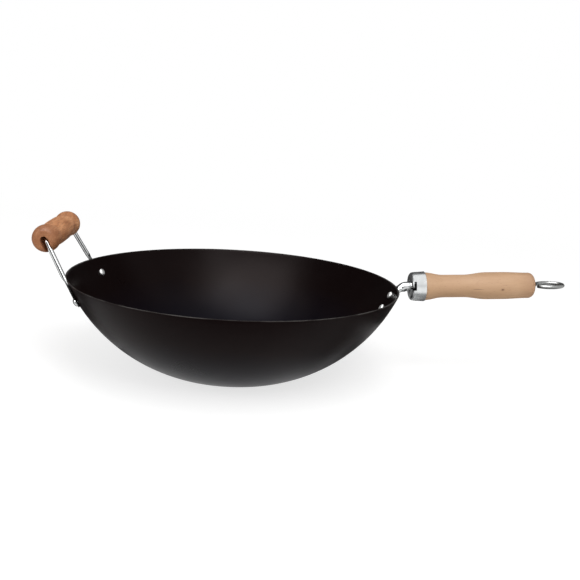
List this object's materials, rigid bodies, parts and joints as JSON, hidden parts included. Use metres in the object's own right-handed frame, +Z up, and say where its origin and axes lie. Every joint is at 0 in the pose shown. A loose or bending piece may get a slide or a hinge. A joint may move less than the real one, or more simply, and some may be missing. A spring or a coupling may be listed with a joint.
{
  "type": "wok",
  "caption": "Flat-bottomed black steel wok with a long twist-on wooden handle, a wire hanging eye and a wire helper handle with a wooden spool grip.",
  "frame": {"origin": "centre of the flat base, on the surface the wok stands on", "axes": "+X out along the long handle, +Y to the left of someone looking out along it, +Z up"},
  "size_m": [0.5608, 0.35, 0.1509],
  "materials": {
    "black_steel": "semi-gloss",
    "bright_steel": "bright",
    "rivet_steel": "satin",
    "pin_steel": "dull",
    "pale_beech": "satin",
    "brown_wood": "satin"
  },
  "bodies": {
    "pan": {"bowl": "black_steel", "handle_tang": "bright_steel", "handle_rivet_upper": "rivet_steel", "handle_rivet_lower": "rivet_steel", "cross_pin": "pin_steel", "helper_wire": "bright_steel", "helper_rivet_near": "rivet_steel", "helper_rivet_far": "rivet_steel"},
    "long_handle": {"ferrule": "bright_steel", "handle_grip": "pale_beech", "hanging_eye": "bright_steel"},
    "helper_spool": {"helper_grip": "brown_wood"}
  },
  "joints": [
    {"name": "handle_twist", "type": "hinge", "parent": "pan", "child": "long_handle", "pos_m": [0.189, 0, 0.0972], "axis": [-0.9981, 0, -0.061], "range_deg": [0, 26]},
    {"name": "helper_grip_rock", "type": "hinge", "parent": "pan", "child": "helper_spool", "pos_m": [-0.1864, 0, 0.1381], "axis": [0, -1, 0], "range_deg": [0, 10.5]}
  ]
}
